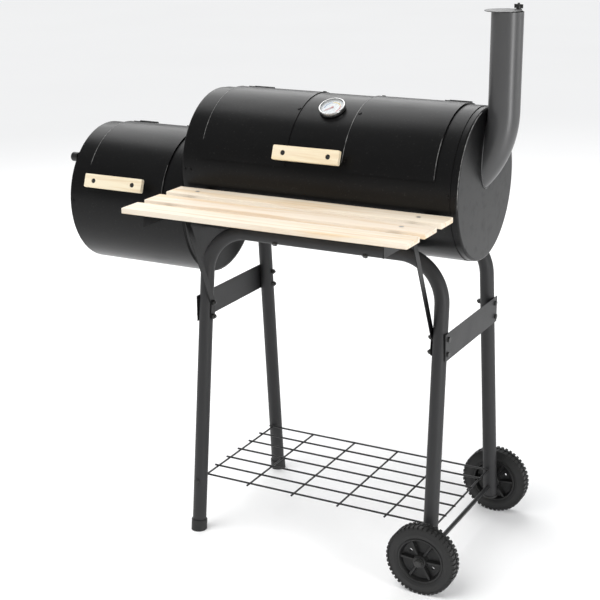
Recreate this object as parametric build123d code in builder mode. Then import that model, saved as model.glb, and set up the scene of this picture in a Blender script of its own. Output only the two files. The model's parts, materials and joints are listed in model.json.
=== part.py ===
"""Offset smoker: a lidded main drum with a lower firebox on its left end,
on a splayed tube frame with two feet and two wheels. Millimetres, +Z up,
+X towards the chimney, -Y towards the person who cooks. The origin is on the
floor, under the middle of the whole object."""
import os
from math import asin, atan, atan2, cos, degrees, radians, sin, tan

from build123d import *

# ---- drums ----------------------------------------------------------------
drum_r = 164.0           # outside radius of both drums
sheet = 1.5              # sheet steel of drums, end caps, lids and chimney
main_len = 653.0         # main drum, cap face to cap face
main_z = 855.0           # height of the main drum's axis
fire_len = 315.0         # firebox, cap face to cap face
fire_drop = 104.0        # firebox axis below the main axis
cap_flange = 40.0        # depth of an end cap's flange
cap_bend = 5.0           # outside bend radius at the rim of a cap
main_reveal = 16.0       # flange that shows past the main shell
fire_reveal = 3.0        # flange that shows past the firebox shell
slip = 0.1               # gap in a slip fit between fixed pieces
run_gap = 0.4            # gap between a lid and the drum it closes

# ---- lids -----------------------------------------------------------------
lid_margin = 50.5        # main drum's face to the end of its lid
fire_lid_len = 208.0
fire_lid_shift = -4.0    # firebox lid centre from the firebox's middle
lid_low = 11.6           # angle of a lid's lower edge above the front
lid_rear = 109.0         # angle of a lid's rear edge
lid_lap = 14.0           # how far a lid laps over its opening all round
strip_w = 132.0          # bare width of the strip that joins the lid panels
strip_lap = 12.0         # how far each panel laps over the strip
hem = 8.0                # width of a panel's folded hem

# ---- hinges ---------------------------------------------------------------
hinge_angle = 112.0
hinge_w = 50.0
main_hinge_in = 36.0     # hinge centre from the end of the main lid
fire_hinge_in = 28.0
leaf = 1.5
leaf_len = 20.0
knuckle_r = 4.5
pin_r = 2.0
pin_gap = 0.05           # running clearance of a hinge pin
knuckle_gap = 0.5        # end gap between neighbouring knuckles
rivet_head_r = 4.0
rivet_head = 1.6
rivet_in = 6.0           # rivet centre from the edge of a sheet

# ---- handles --------------------------------------------------------------
handle_len = 156.0
handle_h = 31.0
handle_t = 10.0
handle_rise = 34.0       # front face of the wood above the drum radius
handle_angle = 20.3      # main lid's handle, above the front
handle_shift = -5.0      # its middle from the middle of the lid
fire_handle_angle = 19.2
fire_handle_shift = -11.0
handle_edge = 1.0
handle_bore_r = 5.6      # counterbores for the screw heads
handle_bore = 4.0
post_span = 106.0        # between the two posts of a handle
post_r = 5.0
post_screw_r = 2.5
screw_head_r = 5.0
screw_head = 2.5

# ---- thermometer ----------------------------------------------------------
dial_angle = 62.0
dial_shift = 6.0         # its middle from the middle of the lid
dial_r = 29.0
case_h = 10.0
case_wall = 1.5
bezel_lip = 2.5
dial_t = 0.8
dial_up = 4.0            # dial's back above the case's back
glass_t = 1.5
needle_len = 20.0
needle_w = 2.0
needle_t = 0.6
needle_lift = 0.7        # needle above the dial
needle_rest = 225.0      # cold end of the scale, from +X
stem_r = 3.0
stem_len = 55.0
stem_nut_r = 9.0
stem_nut_h = 5.0
spindle_r = 1.0
case_lift = 1.0          # case's back clears the curve of the strip

# ---- chimney --------------------------------------------------------------
chimney_r = 33.0
chimney_out = 33.5       # chimney axis beyond the main drum's right face
chimney_top = 1213.0
bend_z = 1013.0          # where the straight tube ends
bend_r = 205.0           # centreline radius of the bend
lug_angle = 77.0         # pivot direction seen from above, from +X to +Y
lug_out = 7.0            # pivot beyond the tube's outside
lug_r = 7.0
lug_t = 3.0
cap_plate_r = 38.0
cap_plate_t = 1.5
cap_turn = 17.0          # how far the rain cap stands open
pivot_screw_r = 2.5
wing_span = 20.0

# ---- grates ---------------------------------------------------------------
wire_r = 2.0
frame_wire_r = 2.5
weld_bite = 0.4          # how far crossing wires are pressed together
grate_gap = 10.0         # end gap of a grate in its drum
cook_z = -8.0            # cooking grate's underside from the main axis
cook_half = 150.0        # half depth of a cooking grate
cook_pitch = 20.0
coal_z = -78.0
coal_half = 128.0
coal_pitch = 24.0
rest_w = 16.0
rest_h = 18.0
rest_t = 1.5

# ---- frame ----------------------------------------------------------------
foot_in = 33.0           # leg centre on the floor, in from the main drum's face
splay = 0.66             # degrees by which a leg leans towards the middle
foot_y = 194.0           # leg centre on the floor, from the drum axis
tube_r = 16.0
tube_wall = 1.4
saddle_angle = -48.1     # top tube round from the drum's front
saddle_gap = 2.7         # top tube's wall off the drum's skin
frame_bend = 100.0       # centreline radius of the corner tubes
seam_in = 143.5          # joint of top tube and corner tube, in from the leg
leg_seam_z = 529.0
spigot = 38.0
brace_z = 535.0
brace_h = 60.0
brace_t = 2.0
brace_over = 12.0        # brace plate past the bolts
bolt_gap = 32.0          # between the two bolts of a joint
bolt_r = 3.0
bolt_hole_r = 3.3
bolt_head_r = 6.0
bolt_head = 4.0
nut_h = 5.0
bolt_tail = 3.0
nut_seat = 0.3           # a flat nut stands off a curved wall by this much
saddle_in = 40.0         # saddle bolt in from that joint
saddle_r = 12.0

# ---- feet, wheels and wire shelf --------------------------------------------
foot_cap_r = 18.5
foot_cap_h = 25.0
foot_floor = 4.0
wheel_r = 79.0
tyre_w = 33.0
tyre_in = 52.0
hub_r = 13.0
hub_w = 38.0
hub_gap = 0.4            # end play of a wheel
rim_t = 6.0
web_t = 5.0
web_hole_r = 7.0
web_hole_at = 32.0
spokes = 6
tyre_edge = 7.0
axle_r = 5.0
axle_gap = 0.08          # running clearance of a wheel on the axle
washer_t = 2.0
washer_r = 11.0
cap_nut_r = 8.5
cap_nut_h = 8.0
leg_tail = 24.0          # wheel-side leg past the axle
plug_r = 17.5
plug_h = 5.0
shelf_wire_z = 124.5
shelf_wire_r = 2.2
long_wires = 7
cross_wires = 6
wire_tip = 6.0
wire_hole_r = 2.8
push_nut_r = 5.5
push_nut_h = 2.0

# ---- wooden shelf -----------------------------------------------------------
slat_in = 3.5            # slat end in from the main drum's face
slat_w = 60.0
slat_gap = 24.0
slat_t = 12.0
slat_round = 3.0
slat_sink = 1.5           # slat screw's recess, a little deeper than its head
slat_head = 1.2
shelf_top = 824.0
shelf_clear = 9.0        # rear slat to the drum's front
bracket_w = 25.0
bracket_t = 2.0
strut_w = 16.0
strut_t = 2.0
strut_top_y = 249.0
strut_top_z = 794.0

# ---- smoke passage between the drums --------------------------------------------
passage_w = 190.0
passage_h = 90.0
passage_round = 20.0
joint_w = 226.0          # bolts that join the two drums
joint_h = 40.0

# ---- air damper ---------------------------------------------------------------
inlet_r = 30.0
inlet_y = -62.0          # inlet centre from the firebox axis
inlet_z = 62.0
damper_y = -14.0         # damper pivot from the firebox axis
damper_z = 22.0
damper_r = 36.0
damper_t = 1.5
damper_gap = 0.5
knob_y = -103.0
knob_z = 96.0
knob_r = 11.0
knob_len = 28.0

# ---- places that follow from the sizes above ----------------------------------
left_reach = main_len / 2 + fire_len + damper_gap + damper_t + knob_len
right_reach = main_len / 2 + chimney_out + chimney_r
saddle_far = drum_r + saddle_gap + tube_r  # top tube's centre from the drum axis
top_y = saddle_far * cos(radians(saddle_angle))
top_z = main_z + saddle_far * sin(radians(saddle_angle))
lean = degrees(atan((foot_y - top_y) / top_z))
leg_out = foot_y - (wheel_r - washer_r) * tan(radians(lean)) + tube_r / cos(radians(lean))
wheel_y = leg_out + washer_t + hub_gap + hub_w / 2
axle_half = wheel_y + hub_w / 2 + hub_gap + washer_t + cap_nut_h
shelf_rear = drum_r + shelf_clear
shelf_front = shelf_rear + 3 * slat_w + 2 * slat_gap
mx = (left_reach - right_reach) / 2        # middle of the main drum
my = (shelf_front - axle_half) / 2         # axis of both drums
fire_z = main_z - fire_drop
main_lid_len = main_len - 2 * lid_margin
main_hinge_half = main_lid_len / 2 - main_hinge_in
fire_hinge_half = fire_lid_len / 2 - fire_hinge_in
foot_x = main_len / 2 - foot_in
top_seam = foot_x - seam_in
saddle_x = top_seam - saddle_in
slat_len = main_len - 2 * slat_in
main_left = mx - main_len / 2
main_right = mx + main_len / 2
fire_left = main_left - fire_len
fire_mid = main_left - fire_len / 2
chimney_x = main_right + chimney_out
drum_in = drum_r - sheet                   # inside radius of a shell
cap_r = drum_in - slip                     # outside radius of a cap's flange
under_r = drum_r + run_gap                 # underside of the strip and hems
panel_r = under_r + sheet + slip           # underside of the lid panels
lid_out = panel_r + sheet
hinge_r = drum_r + leaf + knuckle_r - 0.5
tube_in = tube_r - tube_wall
needle_up = dial_up + dial_t + needle_lift
case_foot = under_r + sheet + case_lift    # back of the thermometer case


def drum_plane(x, axis_z):
    """Section plane of a drum at x, local x to the rear and local y up."""
    return Plane(origin=(x, my, axis_z), x_dir=(0, 1, 0), z_dir=(1, 0, 0))


def side_plane(axis_z):
    """Upright plane through a drum's axis, local x along X and local y up."""
    return Plane(origin=(0, my, axis_z), x_dir=(1, 0, 0), z_dir=(0, -1, 0))


def skin_plane(x, axis_z, angle, radius):
    """Plane on a drum's skin, angle up from its front, facing out."""
    a = radians(angle)
    return Plane(
        origin=(x, my - radius * cos(a), axis_z + radius * sin(a)),
        x_dir=(1, 0, 0),
        z_dir=(0, -cos(a), sin(a)),
    )


def rolled_plate(x_from, x_to, axis_z, r_in, r_out, a_from, a_to, mode=Mode.ADD):
    """A plate rolled about a drum's axis, from one angle to another."""
    with BuildSketch(drum_plane(x_from, axis_z)) as section:
        with BuildLine():
            outer = CenterArc((0, 0), r_out, 180 - a_to, a_to - a_from)
            inner = CenterArc((0, 0), r_in, 180 - a_to, a_to - a_from)
            Line(outer @ 0, inner @ 0)
            Line(outer @ 1, inner @ 1)
        make_face()
    extrude(section.sketch, amount=x_to - x_from, mode=mode)


def rod(plane, radius, length, mode=Mode.ADD):
    """A round bar that starts at a plane and runs along its normal."""
    with BuildSketch(plane) as section:
        Circle(radius)
    extrude(section.sketch, amount=length, mode=mode)


def pipe(plane, radius, bore, length):
    """A straight tube from a plane along its normal."""
    with BuildSketch(plane) as section:
        Circle(radius)
        Circle(bore, mode=Mode.SUBTRACT)
    extrude(section.sketch, amount=length)


def facing(origin, direction):
    """Plane at a point, facing along a direction."""
    return Plane(origin=origin, z_dir=direction)


def leg_x(z):
    """Distance of a leg from the middle of the main drum, at a height."""
    return foot_x - z * tan(radians(splay))


def leg_y(z):
    """Distance of a leg from the drum axis, at a height."""
    return foot_y - z * tan(radians(lean))


def leg_plane(end, side, z):
    """Plane across a leg at a height, facing up along it."""
    at = (mx + end * leg_x(z), my + side * leg_y(z), z)
    return facing(at, (-end * tan(radians(splay)), -side * tan(radians(lean)), 1))


def save(piece, label):
    """Name a finished piece and write it out."""
    piece.part.label = label
    export_step(piece.part, f"parts/{label}.step")


def shell(x_from, x_to, axis_z, lid_from, lid_to):
    """Rolled drum shell with its lid opening and the hinge's rear margin."""
    lap = degrees(lid_lap / drum_r)
    with BuildPart() as body:
        pipe(drum_plane(x_from, axis_z), drum_r, drum_in, x_to - x_from)
        rolled_plate(
            lid_from + lid_lap, lid_to - lid_lap, axis_z, drum_in - 5, drum_r + 5,
            lid_low + lap, lid_rear - lap, Mode.SUBTRACT,
        )
    return body


def end_cap(x_face, inward, axis_z):
    """Pressed end cap: a flat disc with a flange that slips into the shell."""
    with BuildPart() as cap:
        with BuildSketch(side_plane(axis_z)) as section:
            with BuildLine():
                Polyline(
                    (x_face, 0),
                    (x_face, cap_r),
                    (x_face + inward * cap_flange, cap_r),
                    (x_face + inward * cap_flange, cap_r - sheet),
                    (x_face + inward * sheet, cap_r - sheet),
                    (x_face + inward * sheet, 0),
                    close=True,
                )
            make_face()
            rim = section.vertices().sort_by_distance((x_face, cap_r))[0]
            fillet(rim, cap_bend)
            root = (x_face + inward * sheet, cap_r - sheet)
            fillet(section.vertices().sort_by_distance(root)[0], cap_bend - sheet)
        revolve(axis=Axis((0, my, axis_z), (1, 0, 0)))
    return cap


def cut_passage():
    """Smoke passage and its bolt holes, cut where the two drums meet."""
    reach = 2 * cap_flange
    with BuildSketch(drum_plane(main_left - reach / 2, main_z - fire_drop / 2)) as hole:
        RectangleRounded(passage_w, passage_h, passage_round)
        with GridLocations(joint_w, joint_h, 2, 2):
            Circle(bolt_hole_r)
    extrude(hole.sketch, amount=reach, mode=Mode.SUBTRACT)


os.makedirs("parts", exist_ok=True)

# ---- main drum --------------------------------------------------------------------
main_lid_from = mx - main_lid_len / 2
main_lid_to = mx + main_lid_len / 2
brace_zs = (brace_z - bolt_gap / 2, brace_z + bolt_gap / 2)
brace_x = leg_x(brace_z - brace_h / 2) + tube_r       # inner face of a brace plate
strut_x = leg_x(brace_z + brace_h / 2 + strut_t) - tube_r    # outer face of a strut
bracket_x = strut_x + bracket_t            # outer face of a bracket
bracket_bolt_angle = degrees(asin((shelf_top - slat_t - bracket_w / 2 - main_z) / drum_r))
bracket_bolt_x = bracket_x - bracket_w / 2

main_shell = shell(
    main_left + main_reveal, main_right - main_reveal, main_z, main_lid_from, main_lid_to
)
with main_shell:
    for side in (saddle_angle, 180 - saddle_angle):
        for x in (-saddle_x, saddle_x):
            rod(skin_plane(mx + x, main_z, side, drum_r - 8), bolt_hole_r, 16, Mode.SUBTRACT)
    for x in (-bracket_bolt_x, bracket_bolt_x):
        hole = skin_plane(mx + x, main_z, bracket_bolt_angle, drum_r - 8)
        rod(hole, bolt_hole_r, 16, Mode.SUBTRACT)
save(main_shell, "main_shell")

main_cap_left = end_cap(main_left, 1, main_z)
with main_cap_left:
    cut_passage()
save(main_cap_left, "main_cap_left")


def chimney_path():
    """Centreline of the chimney: down from the top, then bent to the drum."""
    with BuildLine(side_plane(0)) as path:
        Line((chimney_x, chimney_top), (chimney_x, bend_z))
        CenterArc((chimney_x - bend_r, bend_z), bend_r, 0, -60)
    return path.line


def chimney_solid(radius, mode=Mode.ADD):
    with BuildSketch(Plane.XY.offset(chimney_top)) as section:
        with Locations((chimney_x, my)):
            Circle(radius)
    sweep(section.sketch, path=chimney_path(), mode=mode)


main_cap_right = end_cap(main_right, -1, main_z)
with main_cap_right:
    chimney_solid(chimney_r - sheet, Mode.SUBTRACT)
save(main_cap_right, "main_cap_right")

lug_far = chimney_r + lug_out
lug_x = chimney_x + lug_far * cos(radians(lug_angle))
lug_y = my + lug_far * sin(radians(lug_angle))
with BuildPart() as chimney:
    chimney_solid(chimney_r)
    with BuildSketch(Plane.XY.offset(chimney_top - lug_t)) as lug:
        with Locations((lug_x, lug_y)):
            Circle(lug_r)
        with Locations(((lug_x + chimney_x) / 2, (lug_y + my) / 2)):
            Rectangle(lug_far, 2 * lug_r, rotation=lug_angle)
    extrude(amount=lug_t)
    chimney_solid(chimney_r - sheet, Mode.SUBTRACT)
    with BuildSketch(drum_plane(main_right, main_z)):
        Rectangle(4 * drum_r, 4 * drum_r)
    extrude(amount=-4 * drum_r, mode=Mode.SUBTRACT)
    rod(Plane((lug_x, lug_y, chimney_top - 20)), pivot_screw_r + slip, 40, Mode.SUBTRACT)
save(chimney, "chimney")

cap_away = radians(lug_angle + 180 - cap_turn)
cap_x = lug_x + lug_far * cos(cap_away)
cap_y = lug_y + lug_far * sin(cap_away)
cap_z = chimney_top + run_gap
with BuildPart() as chimney_cap:
    with BuildSketch(Plane.XY.offset(cap_z)):
        with Locations((cap_x, cap_y)):
            Circle(cap_plate_r)
        with Locations((lug_x, lug_y)):
            Circle(lug_r)
        with Locations(((lug_x + cap_x) / 2, (lug_y + cap_y) / 2)):
            Rectangle(lug_far, 2 * lug_r, rotation=degrees(cap_away))
        with Locations((lug_x, lug_y)):
            Circle(pivot_screw_r + pin_gap, mode=Mode.SUBTRACT)
    extrude(amount=cap_plate_t)
save(chimney_cap, "chimney_cap")

with BuildPart() as chimney_cap_screw:
    low = chimney_top - lug_t - screw_head
    rod(Plane((lug_x, lug_y, low)), screw_head_r, screw_head)
    rod(Plane((lug_x, lug_y, low)), pivot_screw_r, screw_head + lug_t + 14)
    boss_z = cap_z + cap_plate_t + run_gap
    rod(Plane((lug_x, lug_y, boss_z)), screw_head_r, 5)
    with BuildSketch(Plane.XY.offset(boss_z + 1)):
        with Locations((lug_x, lug_y)):
            Rectangle(wing_span, 2, rotation=lug_angle - 90)
    extrude(amount=8)
save(chimney_cap_screw, "chimney_cap_screw")

# ---- main lid -------------------------------------------------------------------------


def lid_panel(x_from, x_to, axis_z, hem_from, hem_to):
    """Lid sheet with its lower edge and its free ends folded under."""
    hem_deg = degrees(hem / drum_r)
    with BuildPart() as panel:
        rolled_plate(x_from, x_to, axis_z, panel_r, lid_out, lid_low, lid_rear)
        for on, end in ((hem_from, x_from), (hem_to, x_to - hem)):
            if on:
                rolled_plate(end, end + hem, axis_z, under_r, panel_r, lid_low, lid_rear)
        low_from = x_from if hem_from else x_from + strip_lap + slip
        low_to = x_to if hem_to else x_to - strip_lap - slip
        rolled_plate(low_from, low_to, axis_z, under_r, panel_r, lid_low, lid_low + hem_deg)
    return panel


strip_from = mx - strip_w / 2 - strip_lap
strip_to = mx + strip_w / 2 + strip_lap
main_lid_left = lid_panel(main_lid_from, mx - strip_w / 2, main_z, True, False)
save(main_lid_left, "main_lid_left")
main_lid_right = lid_panel(mx + strip_w / 2, main_lid_to, main_z, False, True)
save(main_lid_right, "main_lid_right")

with BuildPart() as main_lid_strip:
    rolled_plate(strip_from, strip_to, main_z, under_r, under_r + sheet, lid_low, lid_rear)
    for x in (-post_span / 2, post_span / 2):
        hole = skin_plane(mx + handle_shift + x, main_z, handle_angle, drum_in)
        rod(hole, post_screw_r, 8, Mode.SUBTRACT)
    rod(skin_plane(mx + dial_shift, main_z, dial_angle, drum_in), stem_r + slip, 8, Mode.SUBTRACT)
save(main_lid_strip, "main_lid_strip")

with BuildPart() as main_lid_rivets:
    for x in (strip_from + strip_lap / 2, strip_to - strip_lap / 2):
        for angle in (lid_low + 9, (lid_low + lid_rear) / 2, lid_rear - 6):
            rod(skin_plane(x, main_z, angle, lid_out), rivet_head_r, rivet_head)
save(main_lid_rivets, "main_lid_rivets")


def handle(x_mid, axis_z, angle):
    """Wooden bar with two through holes, counterbored for the screw heads."""
    with BuildPart() as bar:
        face = skin_plane(x_mid, axis_z, angle, drum_r + handle_rise)
        with BuildSketch(face):
            RectangleRounded(handle_len, handle_h, slat_round)
            with GridLocations(post_span, 0, 2, 1):
                Circle(post_screw_r + slip, mode=Mode.SUBTRACT)
        extrude(amount=-handle_t)
        front = bar.faces().sort_by(Axis(face.origin, face.z_dir))[-1]
        chamfer(front.outer_wire().edges(), handle_edge)
        with BuildSketch(face) as bores:
            with GridLocations(post_span, 0, 2, 1):
                Circle(handle_bore_r)
        extrude(bores.sketch, amount=-handle_bore, mode=Mode.SUBTRACT)
    return bar


def handle_posts(x_mid, axis_z, angle, seat_r):
    """Spacer sleeves with the screws that run through bar, sleeve and lid."""
    with BuildPart() as posts:
        back = drum_r + handle_rise - handle_t
        head = drum_r + handle_rise - handle_bore
        for x in (x_mid - post_span / 2, x_mid + post_span / 2):
            rod(skin_plane(x, axis_z, angle, seat_r), post_r, back - seat_r)
            rod(skin_plane(x, axis_z, angle, under_r), post_screw_r - slip, head - under_r)
            rod(skin_plane(x, axis_z, angle, head), screw_head_r, screw_head)
    return posts


main_handle_x = mx + handle_shift
save(handle(main_handle_x, main_z, handle_angle), "main_handle")
save(
    handle_posts(main_handle_x, main_z, handle_angle, under_r + sheet + slip),
    "main_handle_posts",
)

# ---- hinges ----------------------------------------------------------------------------
leaf_deg = degrees(leaf_len / drum_r)
clear_deg = degrees((knuckle_r + 1) / drum_r)
side_w = hinge_w / 4


def knuckle(x_from, length, axis_z, radius, mode=Mode.ADD):
    """Round bar along the hinge axis of a drum."""
    at = skin_plane(x_from, axis_z, hinge_angle, hinge_r).origin
    rod(facing(at, (1, 0, 0)), radius, length, mode)


def add_fixed_leaves(x_mids, axis_z):
    """Leaves on a drum, each with its two outer knuckles."""
    for x in x_mids:
        low = x - hinge_w / 2
        rolled_plate(
            low, low + hinge_w, axis_z, drum_r, drum_r + leaf,
            hinge_angle + clear_deg, hinge_angle + leaf_deg,
        )
        for end in (low, low + hinge_w - side_w):
            knuckle(end, side_w, axis_z, knuckle_r)
            rolled_plate(
                end, end + side_w, axis_z, drum_r, drum_r + leaf,
                hinge_angle, hinge_angle + leaf_deg,
            )
        knuckle(low - 1, hinge_w + 2, axis_z, pin_r + pin_gap, Mode.SUBTRACT)


def hinge_moving(x_mids, axis_z):
    """Leaves on the lid, each with its middle knuckle."""
    mid_w = hinge_w - 2 * side_w - 2 * knuckle_gap
    with BuildPart() as leaves:
        for x in x_mids:
            rolled_plate(
                x - hinge_w / 2, x + hinge_w / 2, axis_z, lid_out, lid_out + leaf,
                lid_rear - leaf_deg, lid_rear,
            )
            rolled_plate(
                x - mid_w / 2, x + mid_w / 2, axis_z, lid_out, lid_out + leaf,
                lid_rear, hinge_angle,
            )
            knuckle(x - mid_w / 2, mid_w, axis_z, knuckle_r)
            knuckle(x - hinge_w, 2 * hinge_w, axis_z, pin_r + pin_gap, Mode.SUBTRACT)
    return leaves


fire_lid_mid = fire_mid + fire_lid_shift
main_hinges = (mx - main_hinge_half, mx + main_hinge_half)
fire_hinges = (fire_lid_mid - fire_hinge_half, fire_lid_mid + fire_hinge_half)
with BuildPart() as hinge_fixed:
    for mids, axis_z in ((main_hinges, main_z), (fire_hinges, fire_z)):
        add_fixed_leaves(mids, axis_z)
save(hinge_fixed, "hinge_fixed")
save(hinge_moving(main_hinges, main_z), "main_hinge_moving")
save(hinge_moving(fire_hinges, fire_z), "fire_hinge_moving")

with BuildPart() as hinge_pins:
    for mids, axis_z in ((main_hinges, main_z), (fire_hinges, fire_z)):
        for x in mids:
            knuckle(x - hinge_w / 2, hinge_w, axis_z, pin_r)
save(hinge_pins, "hinge_pins")

# ---- thermometer -------------------------------------------------------------------------

def dial_plane(height):
    """Plane across the thermometer, at a height above its case's back."""
    return skin_plane(mx + dial_shift, main_z, dial_angle, case_foot + height)


with BuildPart() as thermometer_case:
    rod(dial_plane(0), dial_r, case_h)
    rod(dial_plane(case_wall), dial_r - case_wall, case_h - 2 * case_wall, Mode.SUBTRACT)
    rod(dial_plane(0), dial_r - bezel_lip - case_wall, 2 * case_h, Mode.SUBTRACT)
    rod(dial_plane(0), dial_r - case_wall / 2, case_wall)
    rod(dial_plane(0), stem_r + slip, case_h / 2, Mode.SUBTRACT)
save(thermometer_case, "thermometer_case")

with BuildPart() as thermometer_dial:
    rod(dial_plane(dial_up), dial_r - case_wall - slip, dial_t)
    rod(dial_plane(case_wall), stem_r + 2, dial_up - case_wall)
    rod(dial_plane(0), stem_r + slip, case_h, Mode.SUBTRACT)
save(thermometer_dial, "thermometer_dial")

with BuildPart() as thermometer_stem:
    rod(skin_plane(mx + dial_shift, main_z, dial_angle, under_r - stem_len), stem_r,
        stem_len + case_foot - under_r + dial_up + dial_t)
    nut_foot = under_r - stem_nut_h - 0.5
    rod(skin_plane(mx + dial_shift, main_z, dial_angle, nut_foot), stem_nut_r, stem_nut_h)
    rod(dial_plane(case_wall), spindle_r + pin_gap, case_h, Mode.SUBTRACT)
save(thermometer_stem, "thermometer_stem")

with BuildPart() as thermometer_needle:
    rod(dial_plane(case_wall + 0.5), spindle_r, needle_up - case_wall)
    rod(dial_plane(needle_up), 2.5, needle_t + 0.4)
    with BuildSketch(Plane(dial_plane(needle_up).location * Rot(0, 0, needle_rest))):
        with BuildLine():
            Polyline((-4, -needle_w / 2), (needle_len * 0.6, -needle_w / 2),
                     (needle_len, 0), (needle_len * 0.6, needle_w / 2),
                     (-4, needle_w / 2), close=True)
        make_face()
    extrude(amount=needle_t)
save(thermometer_needle, "thermometer_needle")

with BuildPart() as thermometer_glass:
    rod(dial_plane(case_h - case_wall - glass_t), dial_r - case_wall - slip, glass_t)
save(thermometer_glass, "thermometer_glass")

# ---- firebox ---------------------------------------------------------------------------------
fire_lid_from = fire_lid_mid - fire_lid_len / 2
fire_lid_to = fire_lid_mid + fire_lid_len / 2
fire_shell = shell(
    fire_left + fire_reveal, main_left - fire_reveal, fire_z, fire_lid_from, fire_lid_to
)
save(fire_shell, "fire_shell")

damper_x = fire_left - damper_gap - damper_t
fire_cap_left = end_cap(fire_left, 1, fire_z)
with fire_cap_left:
    with BuildSketch(drum_plane(fire_left - 5, fire_z)) as holes:
        with Locations((inlet_y, inlet_z)):
            Circle(inlet_r)
        with Locations((damper_y, damper_z)):
            Circle(bolt_r)
    extrude(holes.sketch, amount=10, mode=Mode.SUBTRACT)
save(fire_cap_left, "fire_cap_left")

fire_cap_right = end_cap(main_left, -1, fire_z)
with fire_cap_right:
    cut_passage()
save(fire_cap_right, "fire_cap_right")

fire_handle_x = fire_lid_mid + fire_handle_shift
fire_lid = lid_panel(fire_lid_from, fire_lid_to, fire_z, True, True)
with fire_lid:
    for x in (-post_span / 2, post_span / 2):
        hole = skin_plane(fire_handle_x + x, fire_z, fire_handle_angle, drum_in)
        rod(hole, post_screw_r, 8, Mode.SUBTRACT)
save(fire_lid, "fire_lid")
save(handle(fire_handle_x, fire_z, fire_handle_angle), "fire_handle")
save(handle_posts(fire_handle_x, fire_z, fire_handle_angle, lid_out), "fire_handle_posts")


def slot_between(a, b, height):
    """Round-ended strip from one point of a sketch to another."""
    run = Vector(*b) - Vector(*a)
    with Locations((Vector(*a) + Vector(*b)) / 2):
        SlotCenterToCenter(run.length, height, rotation=degrees(atan2(run.Y, run.X)))


with BuildPart() as damper_plate:
    with BuildSketch(drum_plane(damper_x, fire_z)):
        with Locations((inlet_y, inlet_z)):
            Circle(damper_r)
        slot_between((damper_y, damper_z), (inlet_y, inlet_z), 22)
        slot_between((inlet_y, inlet_z), (knob_y, knob_z), 20)
        with Locations((damper_y, damper_z)):
            Circle(bolt_r + pin_gap, mode=Mode.SUBTRACT)
    extrude(amount=damper_t)
save(damper_plate, "damper_plate")

with BuildPart() as damper_knob:
    knob_at = facing((damper_x, my + knob_y, fire_z + knob_z), (-1, 0, 0))
    rod(knob_at, knob_r * 0.5, knob_len / 2)
    rod(knob_at.offset(knob_len / 3), knob_r, knob_len * 2 / 3)
    fillet(damper_knob.edges().group_by(Axis.X)[0], knob_r * 0.4)
save(damper_knob, "damper_knob")

with BuildPart() as damper_rivet:
    pivot = facing((fire_left + sheet, my + damper_y, fire_z + damper_z), (-1, 0, 0))
    rod(pivot.offset(-rivet_head), bolt_head_r, rivet_head)
    rod(pivot, bolt_r, sheet + 2 * damper_gap + damper_t + rivet_head)
    head_at = sheet + 2 * damper_gap + damper_t
    rod(pivot.offset(head_at), bolt_head_r, rivet_head)
save(damper_rivet, "damper_rivet")

# ---- fasteners of the drums ---------------------------------------------------------------------


def bolt(seat, grip):
    """Hexagon bolt whose head sits on a plane, with its nut past the grip."""
    with BuildSketch(seat.offset(-bolt_head)) as head:
        RegularPolygon(bolt_head_r, 6)
    extrude(head.sketch, amount=bolt_head)
    rod(seat, bolt_r, grip + nut_h + bolt_tail)
    with BuildSketch(seat.offset(grip)) as nut:
        RegularPolygon(bolt_head_r, 6)
        Circle(bolt_r + slip, mode=Mode.SUBTRACT)
    extrude(nut.sketch, amount=nut_h)


with BuildPart() as drum_bolts:
    for y in (-joint_w / 2, joint_w / 2):
        for z in (-joint_h / 2, joint_h / 2):
            spot = (main_left + sheet, my + y, main_z - fire_drop / 2 + z)
            bolt(facing(spot, (-1, 0, 0)), 2 * sheet)
    for angle in (saddle_angle, 180 - saddle_angle):
        for x in (-saddle_x, saddle_x):
            head = skin_plane(mx + x, main_z, angle, saddle_far + tube_r)
            bolt(facing(head.origin, -head.z_dir), saddle_far + tube_r - drum_in + nut_seat)
save(drum_bolts, "drum_bolts")

main_ends = ((main_left + main_reveal, 1), (main_right - main_reveal, -1))
fire_ends = ((fire_left + fire_reveal, 1), (main_left - fire_reveal, -1))
with BuildPart() as cap_rivets:
    for x, inward in main_ends:
        for angle in (2, 178):
            on_shell = skin_plane(x + inward * rivet_in, main_z, angle, drum_r)
            rod(on_shell, rivet_head_r, rivet_head)
            on_cap = skin_plane(x - inward * main_reveal / 2, main_z, angle, cap_r)
            rod(on_cap, rivet_head_r * 0.8, rivet_head)
    for ends, axis_z in ((main_ends, main_z), (fire_ends, fire_z)):
        for x, inward in ends:
            rod(skin_plane(x + inward * rivet_in, axis_z, 270, drum_r), rivet_head_r, rivet_head)
    for x, inward in fire_ends:
        for angle in (2, 178):
            spot = skin_plane(x + inward * rivet_in, fire_z, angle, drum_r)
            rod(spot, rivet_head_r, rivet_head)
save(cap_rivets, "cap_rivets")

# ---- grates ------------------------------------------------------------------------------------


def grate(x_from, x_to, z, half, pitch):
    """Wire grate: a bent frame with straight wires welded across it."""
    with BuildPart() as wires:
        frame_z = z + frame_wire_r
        with BuildLine(Plane.XY.offset(frame_z)) as path:
            FilletPolyline(
                (x_from, my - half), (x_to, my - half), (x_to, my + half),
                (x_from, my + half), radius=4 * frame_wire_r, close=True,
            )
        start = path.line
        with BuildSketch(Plane(origin=start @ 0, z_dir=start % 0)) as section:
            Circle(frame_wire_r)
        sweep(section.sketch, path=path.line)
        rod(facing((x_from, my, frame_z), (1, 0, 0)), wire_r, x_to - x_from)
        across_z = frame_z + frame_wire_r + wire_r - weld_bite
        count = round((x_to - x_from) / pitch) - 1
        gap = (x_to - x_from) / (count + 1)
        for i in range(1, count + 1):
            spot = (x_from + i * gap, my - half - frame_wire_r / 2, across_z)
            rod(facing(spot, (0, 1, 0)), wire_r, 2 * half + frame_wire_r)
    return wires


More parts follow.
